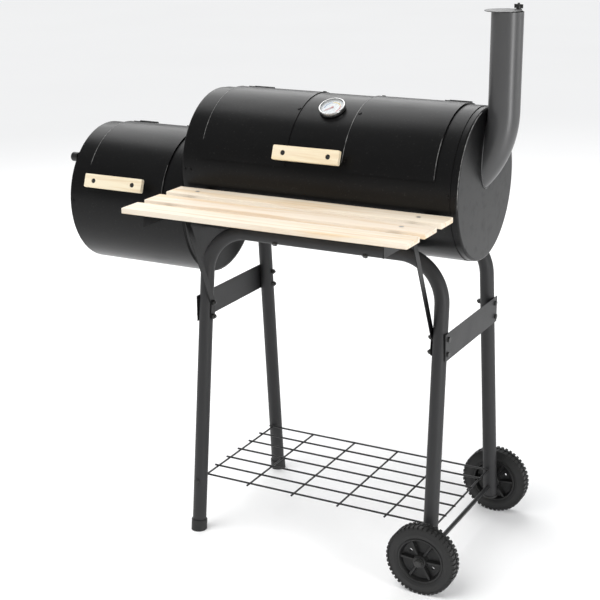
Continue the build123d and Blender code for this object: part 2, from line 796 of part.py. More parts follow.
inner_left = main_left + sheet + grate_gap
inner_right = main_right - sheet - grate_gap
cook_from = main_z + cook_z
save(grate(inner_left, mx - grate_gap / 2, cook_from, cook_half, cook_pitch), "cooking_grate_left")
save(grate(mx + grate_gap / 2, inner_right, cook_from, cook_half, cook_pitch), "cooking_grate_right")
save(grate(inner_left, inner_right, main_z + coal_z, coal_half, coal_pitch), "charcoal_grate")
fire_from = fire_left + sheet + grate_gap
fire_to = main_left - sheet - grate_gap
save(grate(fire_from, fire_to, fire_z + coal_z, coal_half, coal_pitch), "fire_grate")


def rests(x_from, x_to, axis_z, levels):
    """Angle strips inside a drum, front and rear, that carry its grates."""
    with BuildPart() as strips:
        for level, half in levels:
            for side in (-1, 1):
                with BuildSketch(drum_plane(x_from, axis_z)) as section:
                    with Locations((side * (half + rest_w), level - rest_t / 2)):
                        Rectangle(3 * rest_w, rest_t)
                    Circle(drum_in, mode=Mode.INTERSECT)
                extrude(section.sketch, amount=x_to - x_from)
                low = degrees(asin((level - rest_h) / drum_in))
                high = degrees(asin(level / drum_in))
                turn = (low, high) if side < 0 else (180 - high, 180 - low)
                rolled_plate(x_from, x_to, axis_z, drum_in - rest_t, drum_in, *turn)
    return strips


rest_in = cap_flange + 2
save(
    rests(main_left + rest_in, main_right - rest_in, main_z,
          ((cook_z, cook_half), (coal_z, coal_half))),
    "main_grate_rests",
)
save(
    rests(fire_left + rest_in, main_left - rest_in, fire_z, ((coal_z, coal_half),)),
    "fire_grate_rests",
)

# ---- frame -----------------------------------------------------------------------------------------


def frame_plane(side):
    """The sloping plane of the front (-1) or rear (+1) frame."""
    turn = radians(lean)
    return Plane(
        origin=(mx, my + side * foot_y, 0),
        x_dir=(1, 0, 0),
        z_dir=(0, -cos(turn), -side * sin(turn)),
    )


def slope(z):
    """Length along a leg from the floor to a height."""
    return z / cos(radians(lean))


spigot_r = tube_in - slip
spigot_in = spigot_r - tube_wall
top_s = slope(top_z)
seam_s = slope(leg_seam_z)


def cross_hole(end, side, z, radius):
    """Hole along X through a leg."""
    spot = (mx + end * leg_x(z) - 2 * tube_r, my + side * leg_y(z), z)
    rod(facing(spot, (1, 0, 0)), radius, 4 * tube_r, Mode.SUBTRACT)


def deep_hole(end, side, z, radius):
    """Hole along Y through a leg."""
    spot = (mx + end * leg_x(z), my + side * leg_y(z) - 2 * tube_r, z)
    rod(facing(spot, (0, 1, 0)), radius, 4 * tube_r, Mode.SUBTRACT)


def legs(end, bottom_z):
    """Front and rear leg of one end, swaged at the top to enter the corner tube."""
    with BuildPart() as pair:
        for side in (-1, 1):
            foot = leg_plane(end, side, bottom_z)
            seam = leg_plane(end, side, leg_seam_z)
            pipe(foot, tube_r, tube_in, (seam.origin - foot.origin).length)
            pipe(seam.offset(-6), tube_r, spigot_in, 6)
            pipe(seam.offset(-6), spigot_r, spigot_in, 6 + spigot)
            for z in brace_zs:
                cross_hole(end, side, z, bolt_hole_r)
            deep_hole(end, side, shelf_wire_z, wire_hole_r)
    return pair


leg_foot_z = foot_floor + tube_r * sin(radians(lean))
save(legs(-1, leg_foot_z), "left_legs")
right_legs = legs(1, wheel_r - leg_tail)
with right_legs:
    for side in (-1, 1):
        deep_hole(1, side, wheel_r, axle_r + bolt_hole_r - bolt_r)
save(right_legs, "right_legs")


def corner_tubes(side):
    """The two bent tubes of one frame."""
    with BuildPart() as tubes:
        for end in (-1, 1):
            with BuildLine(frame_plane(side)) as path:
                FilletPolyline(
                    (end * top_seam, top_s),
                    (end * leg_x(top_z), top_s),
                    (end * leg_x(leg_seam_z), seam_s),
                    radius=frame_bend,
                )
            start = path.line
            with BuildSketch(Plane(origin=start @ 0, z_dir=start % 0)) as section:
                Circle(tube_r)
                Circle(tube_in, mode=Mode.SUBTRACT)
            sweep(section.sketch, path=path.line)
            cross_hole(end, side, brace_zs[1], bolt_hole_r)
    return tubes


save(corner_tubes(-1), "front_corner_tubes")
save(corner_tubes(1), "rear_corner_tubes")

with BuildPart() as top_tubes:
    for side, angle in ((-1, saddle_angle), (1, 180 - saddle_angle)):
        start = (mx - top_seam, my + side * top_y, top_z)
        pipe(facing(start, (1, 0, 0)), tube_r, tube_in, 2 * top_seam)
        for x, way in ((mx - top_seam + 6, -1), (mx + top_seam - 6, 1)):
            neck = facing((x, my + side * top_y, top_z), (way, 0, 0))
            pipe(neck, tube_r, spigot_in, 6)
            pipe(neck, spigot_r, spigot_in, 6 + spigot)
        for x in (-saddle_x, saddle_x):
            hole = skin_plane(mx + x, main_z, angle, drum_r)
            rod(hole, bolt_hole_r, saddle_far, Mode.SUBTRACT)
save(top_tubes, "top_tubes")

with BuildPart() as saddles:
    for side, angle in ((-1, saddle_angle), (1, 180 - saddle_angle)):
        for x in (-saddle_x, saddle_x):
            seat = skin_plane(mx + x, main_z, angle, drum_r - 4)
            rod(seat, saddle_r, saddle_far - drum_r + 4)
            rod(seat, bolt_hole_r, saddle_far, Mode.SUBTRACT)
        start = (mx - top_seam, my + side * top_y, top_z)
        rod(facing(start, (1, 0, 0)), tube_r, 2 * top_seam, Mode.SUBTRACT)
    rod(drum_plane(main_left, main_z), drum_r, main_len, Mode.SUBTRACT)
save(saddles, "saddles")

with BuildPart() as brace_plates:
    for end in (-1, 1):
        plane = Plane(origin=(mx + end * brace_x, my, brace_z), x_dir=(0, 1, 0), z_dir=(1, 0, 0))
        with BuildSketch(plane) as plate:
            Rectangle(2 * leg_y(brace_z) + 2 * brace_over, brace_h)
            for z in brace_zs:
                with Locations((-leg_y(z), z - brace_z), (leg_y(z), z - brace_z)):
                    Circle(bolt_hole_r, mode=Mode.SUBTRACT)
        extrude(plate.sketch, amount=end * brace_t)
save(brace_plates, "brace_plates")

with BuildPart() as brace_bolts:
    for end in (-1, 1):
        for side in (-1, 1):
            for z in brace_zs:
                inner = strut_x - strut_t if side < 0 else leg_x(z) - tube_r - nut_seat
                spot = (mx + end * (brace_x + brace_t), my + side * leg_y(z), z)
                bolt(facing(spot, (-end, 0, 0)), brace_x + brace_t - inner)
save(brace_bolts, "brace_bolts")

# ---- feet ----------------------------------------------------------------------------------------------
with BuildPart() as foot_caps:
    for side in (-1, 1):
        sole = leg_plane(-1, side, 0).offset(-foot_cap_r)
        rod(sole, foot_cap_r, foot_cap_r + foot_cap_h)
        rod(leg_plane(-1, side, leg_foot_z), tube_r + slip, foot_cap_h, Mode.SUBTRACT)
    with BuildSketch(Plane.XY):
        with Locations((mx - foot_x, my)):
            Rectangle(6 * foot_cap_r, 4 * foot_y)
    extrude(amount=-3 * foot_cap_r, mode=Mode.SUBTRACT)
    for side in (-1, 1):
        low = leg_plane(1, side, wheel_r - leg_tail).offset(-plug_h)
        rod(low, plug_r, plug_h)
        rod(low, tube_in - slip, plug_h + 8)
save(foot_caps, "foot_caps")

# ---- axle and wheels -----------------------------------------------------------------------------------


def axle_point(y):
    """Plane across the axle, facing the rear."""
    return facing((mx + leg_x(wheel_r), my + y, wheel_r), (0, 1, 0))


with BuildPart() as axle:
    rod(axle_point(-axle_half + cap_nut_h / 2), axle_r, 2 * axle_half - cap_nut_h)
save(axle, "axle")


def washer(plane):
    """Flat washer for the axle."""
    with BuildSketch(plane) as ring:
        Circle(washer_r)
        Circle(axle_r + slip, mode=Mode.SUBTRACT)
    extrude(ring.sketch, amount=washer_t)


def cap_nut(side):
    """Domed nut, made as a turned cup over the axle's end."""
    tip = facing((mx + leg_x(wheel_r), my + side * axle_half, wheel_r), (0, -side, 0))
    with BuildPart(mode=Mode.PRIVATE) as nut:
        rod(tip, cap_nut_r, cap_nut_h)
        dome = nut.faces().sort_by(Axis.Y)[0 if side < 0 else -1]
        fillet(dome.edges(), cap_nut_h / 3)
        rod(tip.offset(cap_nut_h / 2 - slip), axle_r + slip, cap_nut_h, Mode.SUBTRACT)
    return nut.part


cap_nuts = [cap_nut(side) for side in (-1, 1)]
with BuildPart() as axle_fittings:
    for side in (-1, 1):
        for y in (-hub_w / 2 - hub_gap - washer_t, hub_w / 2 + hub_gap):
            washer(axle_point(side * wheel_y + y))
    add(cap_nuts)
save(axle_fittings, "axle_fittings")


def wheel(y):
    """Moulded wheel centre: rim, web with holes and ribs, and a long hub."""
    rim_w = tyre_w - 3
    with BuildPart() as centre:
        pipe(axle_point(y - rim_w / 2), tyre_in, tyre_in - rim_t, rim_w)
        rod(axle_point(y - web_t / 2), tyre_in - rim_t / 2, web_t)
        rod(axle_point(y - hub_w / 2), hub_r, hub_w)
        with BuildSketch(axle_point(y - rim_w / 2 + 2)) as ribs:
            with PolarLocations((hub_r + tyre_in - rim_t) / 2, spokes):
                Rectangle(tyre_in - rim_t - hub_r + 4, web_t)
        extrude(ribs.sketch, amount=rim_w - 4)
        with BuildSketch(axle_point(y - hub_w)) as holes:
            Circle(axle_r + axle_gap)
            with PolarLocations(web_hole_at, spokes, start_angle=180 / spokes):
                Circle(web_hole_r)
        extrude(holes.sketch, amount=2 * hub_w, mode=Mode.SUBTRACT)
    return centre


def tyre(y):
    """Solid tyre with rounded shoulders."""
    with BuildPart() as ring:
        pipe(axle_point(y - tyre_w / 2), wheel_r, tyre_in + slip, tyre_w)
        shoulders = ring.edges().filter_by(GeomType.CIRCLE).group_by(SortBy.RADIUS)[-1]
        fillet(shoulders, tyre_edge)
    return ring


for name, y in (("front", -wheel_y), ("rear", wheel_y)):
    save(wheel(y), f"{name}_wheel")
    save(tyre(y), f"{name}_tyre")

# ---- wire shelf ------------------------------------------------------------------------------------------
wire_x = leg_x(shelf_wire_z)
wire_y = leg_y(shelf_wire_z) - tube_r - 2.5 * shelf_wire_r
cross_reach = leg_y(shelf_wire_z - push_nut_r) + tube_r / cos(radians(lean)) + push_nut_h + 1
with BuildPart() as wire_shelf:
    for i in range(cross_wires):
        x = wire_x * (2 * i / (cross_wires - 1) - 1)
        reach = cross_reach if i in (0, cross_wires - 1) else wire_y + wire_tip
        spot = (mx + x, my - reach, shelf_wire_z)
        rod(facing(spot, (0, 1, 0)), shelf_wire_r, 2 * reach)
    for i in range(long_wires):
        y = -wire_y + 2 * wire_y * i / (long_wires - 1)
        high = shelf_wire_z + 2 * shelf_wire_r - weld_bite
        spot = (mx - wire_x - wire_tip, my + y, high)
        rod(facing(spot, (1, 0, 0)), shelf_wire_r, 2 * (wire_x + wire_tip))
save(wire_shelf, "wire_shelf")

with BuildPart() as push_nuts:
    for end in (-1, 1):
        for side in (-1, 1):
            out = cross_reach - 1
            nut = facing((mx + end * wire_x, my + side * out, shelf_wire_z), (0, -side, 0))
            rod(nut, push_nut_r, push_nut_h)
            rod(nut, shelf_wire_r, push_nut_h, Mode.SUBTRACT)
save(push_nuts, "push_nuts")

# ---- wooden shelf ---------------------------------------------------------------------
slat_ys = [-(shelf_rear + slat_w / 2 + i * (slat_w + slat_gap)) for i in range(3)]
screw_x = bracket_x - bracket_w / 2
with BuildPart() as shelf_slats:
    with BuildSketch(Plane.XY.offset(shelf_top - slat_t)):
        for y in slat_ys:
            with Locations((mx, my + y)):
                RectangleRounded(slat_len, slat_w, slat_round)
            with Locations((mx - screw_x, my + y), (mx + screw_x, my + y)):
                Circle(post_screw_r, mode=Mode.SUBTRACT)
    extrude(amount=slat_t)
    tops = shelf_slats.faces().group_by(Axis.Z)[-1]
    for top in tops:
        fillet(top.outer_wire().edges(), slat_round / 2)
    for y in slat_ys:
        for end in (-1, 1):
            seat = Plane((mx + end * screw_x, my + y, shelf_top - slat_sink))
            rod(seat, screw_head_r + slip, 2 * slat_sink, Mode.SUBTRACT)
save(shelf_slats, "shelf_slats")

bracket_top = shelf_top - slat_t
with BuildPart() as shelf_brackets:
    for end in (-1, 1):
        section_at = Plane(
            origin=(mx, my - shelf_front + 6, bracket_top), x_dir=(1, 0, 0), z_dir=(0, -1, 0)
        )
        inner = bracket_x - bracket_w
        with BuildSketch(section_at) as section:
            with Locations((end * (bracket_x - bracket_t / 2), -bracket_w / 2)):
                Rectangle(bracket_t, bracket_w)
            with Locations((end * (bracket_x - bracket_w / 2), -bracket_t / 2)):
                Rectangle(bracket_w, bracket_t)
        extrude(section.sketch, amount=-(shelf_front - 6 - drum_r / 2))
        low = mx + min(end * inner, end * bracket_x)
        rolled_plate(low, low + bracket_w, main_z, drum_r - 1, drum_r + bracket_t,
                     bracket_bolt_angle - 5, bracket_bolt_angle + 4)
        for y in slat_ys:
            spot = (mx + end * screw_x, my + y, bracket_top - bracket_w / 2)
            rod(Plane(spot), post_screw_r, bracket_w, Mode.SUBTRACT)
        hole = skin_plane(mx + end * bracket_bolt_x, main_z, bracket_bolt_angle, drum_r - 2)
        rod(hole, bolt_hole_r, 12, Mode.SUBTRACT)
        hole = facing((mx + end * bracket_x - 5, my - strut_top_y, strut_top_z), (1, 0, 0))
        rod(hole, bolt_hole_r, 10, Mode.SUBTRACT)
    rod(drum_plane(main_left, main_z), drum_r, main_len, Mode.SUBTRACT)
save(shelf_brackets, "shelf_brackets")

with BuildPart() as shelf_struts:
    low, high = ((-leg_y(z), z) for z in brace_zs)
    top = (-strut_top_y, strut_top_z)
    for end in (-1, 1):
        plane = Plane(origin=(mx + end * strut_x, my, 0), x_dir=(0, 1, 0), z_dir=(1, 0, 0))
        with BuildSketch(plane) as strap:
            slot_between(low, high, strut_w)
            slot_between(high, top, strut_w)
            with Locations(low, high, top):
                Circle(bolt_hole_r, mode=Mode.SUBTRACT)
        extrude(strap.sketch, amount=-end * strut_t)
save(shelf_struts, "shelf_struts")

with BuildPart() as shelf_bolts:
    for end in (-1, 1):
        inside = mx + end * (strut_x - strut_t)
        spot = (inside, my - strut_top_y, strut_top_z)
        bolt(facing(spot, (end, 0, 0)), strut_t + bracket_t)
        head = skin_plane(
            mx + end * bracket_bolt_x, main_z, bracket_bolt_angle, drum_r + bracket_t + nut_seat
        )
        bolt(facing(head.origin, -head.z_dir), bracket_t + sheet + 2 * nut_seat)
save(shelf_bolts, "shelf_bolts")

with BuildPart() as slat_screws:
    for end in (-1, 1):
        for y in slat_ys:
            seat = Plane((mx + end * screw_x, my + y, shelf_top - slat_sink))
            rod(seat, screw_head_r, slat_head)
            rod(seat.offset(slat_sink - slat_t - 8), post_screw_r - slip, slat_t + 8 - slat_sink)
save(slat_screws, "slat_screws")
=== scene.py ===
"""Offset smoker: looks for a lidded main drum with a lower firebox on its left,
a bent chimney, a slatted shelf, and a tube frame on two feet and two wheels."""
import json
import math
import random

import bmesh
import bpy
from mathutils import Matrix, Vector


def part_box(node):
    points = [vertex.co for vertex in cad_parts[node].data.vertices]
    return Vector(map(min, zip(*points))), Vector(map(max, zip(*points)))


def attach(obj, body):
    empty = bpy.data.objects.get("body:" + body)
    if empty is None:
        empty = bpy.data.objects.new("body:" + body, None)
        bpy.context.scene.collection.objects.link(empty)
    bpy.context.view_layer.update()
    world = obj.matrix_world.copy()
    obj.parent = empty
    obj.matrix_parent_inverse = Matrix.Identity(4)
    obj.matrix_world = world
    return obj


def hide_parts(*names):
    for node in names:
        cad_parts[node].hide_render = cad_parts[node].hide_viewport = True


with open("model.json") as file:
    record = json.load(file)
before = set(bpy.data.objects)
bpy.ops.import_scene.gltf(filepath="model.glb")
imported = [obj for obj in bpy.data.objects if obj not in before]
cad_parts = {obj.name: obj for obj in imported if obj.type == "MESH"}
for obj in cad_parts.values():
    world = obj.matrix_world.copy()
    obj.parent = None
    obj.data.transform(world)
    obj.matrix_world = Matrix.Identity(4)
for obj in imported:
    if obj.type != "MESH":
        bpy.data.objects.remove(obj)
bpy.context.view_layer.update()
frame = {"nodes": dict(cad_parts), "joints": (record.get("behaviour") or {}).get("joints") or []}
random.seed(7)


# ---- studio ---------------------------------------------------------------------
# A pale floor in bright air, a large soft panel above and behind, a broad key that
# leaves no highlight, two panels at the side, and a long lens that looks down.
scene = bpy.context.scene
scene.view_settings.view_transform = "Standard"
drum_low, drum_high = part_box("main_shell")
drum_mid = (drum_low + drum_high) / 2
drum_way = Vector((1, 0, 0))

lens = bpy.data.cameras.new("studio_camera")
lens.sensor_width = 36.0
lens.lens = 80.494
lens.clip_end = 200.0
camera = bpy.data.objects.new("studio_camera", lens)
scene.collection.objects.link(camera)
yaw, pitch, roll = (math.radians(a) for a in (28.297, 17.631, -0.587))
from_drum_x, from_drum_y, camera_height = 1.28536, -2.61003, 1.48011
ahead = Vector((-math.sin(yaw) * math.cos(pitch), math.cos(yaw) * math.cos(pitch), -math.sin(pitch)))
level = Vector((math.cos(yaw), math.sin(yaw), 0))
above = level.cross(ahead)
right = math.cos(roll) * level + math.sin(roll) * above
upward = -math.sin(roll) * level + math.cos(roll) * above
turn = Matrix((right, upward, -ahead)).transposed().to_4x4()
turn.translation = Vector((drum_mid.x + from_drum_x, drum_mid.y + from_drum_y, camera_height))
camera.matrix_world = turn
scene.camera = camera


def studio_light(name, kind, energy, place, target, **settings):
    """A light at a place that points at a target."""
    data = bpy.data.lights.new(name, kind)
    data.energy = energy
    for key, value in settings.items():
        setattr(data, key, value)
    lamp = bpy.data.objects.new(name, data)
    scene.collection.objects.link(lamp)
    lamp.location = place
    lamp.rotation_euler = (Vector(target) - Vector(place)).to_track_quat("-Z", "Y").to_euler()
    return lamp


def soft_panel(name, energy, place, target, wide, tall):
    """A rectangular light at a place that points at a target."""
    return studio_light(name, "AREA", energy, place, target, shape="RECTANGLE", size=wide, size_y=tall)


key_sky = studio_light("key_sky", "SUN", 2.3, (-2, -3, 6), (0, 0, 0.5), angle=math.radians(50))
key_sky.visible_glossy = False
soft_panel("back_panel", 85, (-1.26, 1.72, 3.1), (0.1, 0.1, 0.95), 3.2, 3.6)
soft_panel("side_panel", 14, (3.4, 1.6, 1.3), (0.4, 0, 0.8), 1.6, 1.6)
soft_panel("side_strip", 34, (2.8, -1.05, 0.95), (0.45, 0.07, 0.95), 0.6, 2.0)


class Wire:
    """A socket among shader nodes that takes part in ordinary sums."""

    def __init__(self, tree, socket=None):
        self.tree = tree
        self.socket = socket

    def node(self, kind, settings=None, inputs=None, out=0):
        """A node of a kind: settings first, then values or links of its sockets."""
        made = self.tree.nodes.new("ShaderNode" + kind)
        for name, value in (settings or {}).items():
            setattr(made, name, value)
        for key, value in (inputs or {}).items():
            if isinstance(value, Wire):
                self.tree.links.new(value.socket, made.inputs[key])
            else:
                made.inputs[key].default_value = value
        return Wire(self.tree, made.outputs[out])

    def sum(self, operation, a, b):
        """One arithmetic node: Vector Math where either side is a vector, else Math."""
        kinds = [x.socket.type for x in (a, b) if isinstance(x, Wire)]
        if "VECTOR" in kinds:
            a, b = (x if isinstance(x, (Wire, tuple)) else (x, x, x) for x in (a, b))
            return self.node("VectorMath", {"operation": operation}, {0: a, 1: b})
        return self.node("Math", {"operation": operation}, {0: a, 1: b})

    def __add__(self, other):
        return self.sum("ADD", self, other)

    def __radd__(self, other):
        return self.sum("ADD", other, self)

    def __sub__(self, other):
        return self.sum("SUBTRACT", self, other)

    def __rsub__(self, other):
        return self.sum("SUBTRACT", other, self)

    def __mul__(self, other):
        return self.sum("MULTIPLY", self, other)

    def __rmul__(self, other):
        return self.sum("MULTIPLY", other, self)

    def noise(self, scale, detail=3.0, rough=0.55):
        """Cloudy noise from 0 to 1 at this place."""
        inputs = {"Vector": self, "Scale": scale, "Detail": detail, "Roughness": rough}
        return self.node("TexNoise", None, inputs)

    def band(self, low, high):
        """0 below low, 1 above high, smooth between."""
        inputs = {"Value": self, "From Min": low, "From Max": high}
        return self.node("MapRange", {"interpolation_type": "SMOOTHSTEP"}, inputs)

    def between(self, first, second):
        """A colour part way from first to second by this value."""
        a, b = (c if isinstance(c, Wire) else (*c, 1) for c in (first, second))
        return self.node("Mix", {"data_type": "RGBA"}, {0: self, 6: a, 7: b}, out=2)


def finish(name, recipe):
    """A material whose recipe fills the sockets of one Principled shader."""
    material = bpy.data.materials.new(name)
    material.use_nodes = True
    tree = material.node_tree
    shader = tree.nodes["Principled BSDF"]
    place = Wire(tree).node("TexCoord", out=3)
    for key, value in recipe(place).items():
        if isinstance(value, Wire):
            tree.links.new(value.socket, shader.inputs[key])
        else:
            shader.inputs[key].default_value = value
    return material


def floor_recipe(place):
    mottle = place.noise(0.8)
    return {
        "Base Color": mottle.between((0.86, 0.86, 0.86), (0.9, 0.9, 0.9)),
        "Roughness": 0.75 + 0.1 * place.noise(3.0),
        "Specular IOR Level": 0.1,
        "Emission Color": (0.95, 0.97, 1.0, 1),
        "Emission Strength": 0.13,
    }


floor_radius, floor_sides = 40, 64
floor_edge = []
for i in range(floor_sides):
    a = i * math.tau / floor_sides
    floor_edge.append((floor_radius * math.cos(a), floor_radius * math.sin(a), 0))
floor_mesh = bpy.data.meshes.new("studio_floor")
floor_mesh.from_pydata(floor_edge, [], [list(range(floor_sides))])
floor_mesh.materials.append(finish("studio_floor", floor_recipe))
floor = bpy.data.objects.new("studio_floor", floor_mesh)
scene.collection.objects.link(floor)

world = bpy.data.worlds.new("studio_air")
scene.world = world
world.use_nodes = True
air = world.node_tree
air_light, air_seen = 0.28, 0.68
air.nodes["Background"].inputs["Color"].default_value = (0.94, 0.95, 0.96, 1)
wall_glow = Wire(air).node("LightPath", out=0) * air_seen + air_light
air.links.new(wall_glow.socket, air.nodes["Background"].inputs["Strength"])


# ---- tube frame -----------------------------------------------------------------
# Two inverted-U frames of round steel tube in swaged lengths, tied together at the
# ends by flat plates. Dark grey powder coat with a fine grain and a few light chips.
def coat(nodes, material):
    """Gives carried-over CAD nodes a material."""
    for name in nodes.split():
        faces = frame["nodes"][name].data
        faces.materials.clear()
        faces.materials.append(material)


def dents(height, strength, distance):
    """Normal from a height."""
    return height.node("Bump", None, {"Height": height, "Strength": strength, "Distance": distance})


def powder_recipe(colour, scuff):
    def recipe(place):
        cloud = place.noise(14.0)
        grit = place.noise(900.0, 2.0)
        chips = place.noise(160.0, 4.0).band(0.70, 0.76) * place.noise(9.0).band(0.5, 0.75)
        base = cloud.between(tuple(0.88 * c for c in colour), tuple(1.14 * c for c in colour))
        return {
            "Base Color": (chips * 0.6).between(base, scuff),
            "Roughness": 0.42 + 0.14 * cloud + 0.1 * chips,
            "Specular IOR Level": 0.32,
            "Normal": dents(grit + 0.4 * cloud, 0.22, 0.0004),
        }
    return recipe


frame_grey = finish("frame_grey", powder_recipe((0.027, 0.027, 0.028), (0.13, 0.125, 0.12)))
coat("left_legs right_legs front_corner_tubes rear_corner_tubes top_tubes brace_plates", frame_grey)


# ---- bolts, rivets and pins -----------------------------------------------------
# Blackened steel hexagon bolts and nuts hold the frame; the slat screws, pins, damper
# rivet and thermometer stem are zinc plated. Slightly cloudy, with fine turning marks.
def turning_marks(place):
    """Height of the fine rings that a lathe leaves."""
    return (place * (1.0, 1.0, 9.0)).noise(700.0, 2.0)


def zinc_recipe(place):
    cloud = place.noise(60.0)
    return {
        "Base Color": cloud.between((0.62, 0.62, 0.60), (0.78, 0.78, 0.75)),
        "Metallic": 1.0,
        "Roughness": 0.40 + 0.16 * cloud,
        "Normal": dents(turning_marks(place), 0.12, 0.0003),
    }


def blackened_recipe(place):
    cloud = place.noise(80.0)
    return {
        "Base Color": cloud.between((0.020, 0.020, 0.020), (0.050, 0.050, 0.048)),
        "Metallic": 0.5 * cloud,
        "Roughness": 0.32 + 0.16 * cloud,
        "Normal": dents(turning_marks(place), 0.12, 0.0003),
    }


zinc = finish("zinc_steel", zinc_recipe)
black_steel = finish("black_steel", blackened_recipe)
coat("slat_screws hinge_pins damper_rivet thermometer_stem", zinc)
coat("drum_bolts brace_bolts shelf_bolts", black_steel)


# ---- foot caps and leg plugs ----------------------------------------------------
# Soft black plastic caps pushed over the left legs and plugs in the right ones,
# dull and a little cloudy, with a fine moulded grain.
def plastic_recipe(tone, rough):
    def recipe(place):
        cloud = place.noise(30.0)
        grain = place.noise(1400.0, 2.0)
        return {
            "Base Color": cloud.between((tone, tone, tone), (1.5 * tone, 1.5 * tone, 1.48 * tone)),
            "Roughness": rough + 0.12 * cloud,
            "Specular IOR Level": 0.4,
            "Normal": dents(grain, 0.18, 0.0003),
        }
    return recipe


coat("foot_caps", finish("cap_plastic", plastic_recipe(0.016, 0.52)))


# ---- wheels ---------------------------------------------------------------------
# Moulded black plastic wheels: a long hub, a dished web with six ribs and two small
# holes, a deep rim, and a tread ring with two staggered rows of chunky lugs.
def skin(made, rings, closed=True):
    """Faces from each ring of points to the next; a run that isn't closed gets two ends."""
    following = rings[1:] + rings[:1] if closed else rings[1:]
    for here, there in zip(rings, following):
        for k in range(len(here)):
            n = (k + 1) % len(here)
            made.faces.new((here[k], there[k], there[n], here[n]))
    if not closed:
        made.faces.new(rings[0])
        made.faces.new(rings[-1][::-1])
    bmesh.ops.recalc_face_normals(made, faces=made.faces)


def lathe(profile, steps=96):
    """Closed mesh of a closed profile of (radius, along) turned about local Z."""
    made = bmesh.new()
    rings = []
    for i in range(steps):
        a = math.tau * i / steps
        rings.append([made.verts.new((r * math.cos(a), r * math.sin(a), h)) for r, h in profile])
    skin(made, rings)
    return made


def mirrored(half):
    """A profile of (radius, along) with its mirror image added, as one closed loop."""
    return half + [(r, -h) for r, h in reversed(half)]


def block(made, corners):
    """Six-sided block in a mesh from its lower four and upper four corners."""
    v = [made.verts.new(c) for c in corners]
    for loop in ((3, 2, 1, 0), (4, 5, 6, 7), (0, 1, 5, 4), (1, 2, 6, 5), (2, 3, 7, 6), (3, 0, 4, 7)):
        made.faces.new([v[i] for i in loop])


def piece(name, made, material, body, place=Matrix.Identity(4), sharp=35):
    """Puts a finished bmesh in the scene as a piece that rides on a body."""
    made.transform(place)
    mesh = bpy.data.meshes.new(name)
    made.to_mesh(mesh)
    made.free()
    mesh.shade_smooth()
    mesh.set_sharp_from_angle(angle=math.radians(sharp))
    mesh.materials.append(material)
    item = bpy.data.objects.new(name, mesh)
    scene.collection.objects.link(item)
    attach(item, body)
    return item


tyre_black = finish("tyre_plastic", plastic_recipe(0.013, 0.46))
wheel_black = finish("wheel_plastic", plastic_recipe(0.009, 0.36))
tread_base, tread_top, tyre_bore = 0.0766, 0.0788, 0.0521
lug_count, lug_sink, lug_root, lug_tip = 46, 0.003, 0.0038, 0.0030
lug_near, lug_far, lug_taper = 0.0008, 0.0160, 0.0012
tyre_steps = 3 * lug_count
tyre_profile = mirrored([
    (tyre_bore, -0.0135), (0.0545, -0.0150), (0.0565, -0.0152), (0.0585, -0.0163), (0.0615, -0.0165),
    (0.0635, -0.0158), (0.0700, -0.0156), (0.0750, -0.0142), (tread_base, -0.0120),
])
wheel_bore, hub_radius, hub_half, rim_radius = 0.0051, 0.0120, 0.019, 0.0519
wheel_profile = mirrored([
    (wheel_bore, -hub_half), (hub_radius, -hub_half), (0.0144, -0.0176), (0.0152, -0.0080),
    (0.0168, -0.0046), (0.0210, -0.0034), (0.0270, -0.0032), (0.0330, -0.0031), (0.0390, -0.0030),
    (0.0440, -0.0046), (0.0462, -0.0120), (0.0478, -0.0146), (0.0500, -0.0150), (0.0518, -0.0142),
    (rim_radius, -0.0120),
])
hole_in, hole_out = 6, 7  # points of the profile that a web hole lies between
hole_steps = (38, 86)  # steps of the lathe where the two holes start
rib_count, rib_lag = 6, math.radians(2)
rib_corners = (  # radius, offset to the side, height from the middle of the wheel
    (0.0140, -0.0034, 0.0020), (0.0140, 0.0034, 0.0020), (0.0475, 0.0040, 0.0020), (0.0475, -0.0040, 0.0020),
    (0.0142, -0.0020, 0.0135), (0.0142, 0.0020, 0.0135), (0.0470, 0.0026, 0.0115), (0.0470, -0.0026, 0.0115),
)


def web_hole(made, first, wide=3):
    """A hole through the web, a few steps of the lathe wide."""
    made.verts.ensure_lookup_table()
    rows = len(wheel_profile)
    loops = []
    for k_in, k_out in ((hole_in, hole_out), (rows - 1 - hole_in, rows - 1 - hole_out)):
        inner = [made.verts[(first + i) * rows + k_in] for i in range(wide + 1)]
        outer = [made.verts[(first + i) * rows + k_out] for i in range(wide + 1)]
        patch = set(inner + outer)
        gone = [f for f in made.faces if all(v in patch for v in f.verts)]
        bmesh.ops.delete(made, geom=gone, context="FACES")
        loops.append(inner + outer[::-1])
    front, back = loops
    for i in range(len(front)):
        n = (i + 1) % len(front)
        made.faces.new((front[i], front[n], back[n], back[i]))
    bmesh.ops.recalc_face_normals(made, faces=made.faces)


def rib(made, angle, side):
    """One rib from hub to rim on one face of the web, narrower towards its top."""
    along = Vector((math.cos(angle), math.sin(angle), 0))
    across = Vector((-math.sin(angle), math.cos(angle), 0))
    corners = [along * r + across * w + Vector((0, 0, side * h)) for r, w, h in rib_corners]
    if side < 0:
        corners = corners[3::-1] + corners[:3:-1]
    block(made, corners)


def lug(made, angle, low, high):
    """One tread lug, wider at its root than at its top."""
    corners = []
    for radius, half, inset in ((tread_base - lug_sink, lug_root, 0.0), (tread_top, lug_tip, lug_taper)):
        for h, side in ((low + inset, -1), (low + inset, 1), (high - inset, 1), (high - inset, -1)):
            a = angle + side * half / radius
            corners.append((radius * math.cos(a), radius * math.sin(a), h))
    block(made, corners)


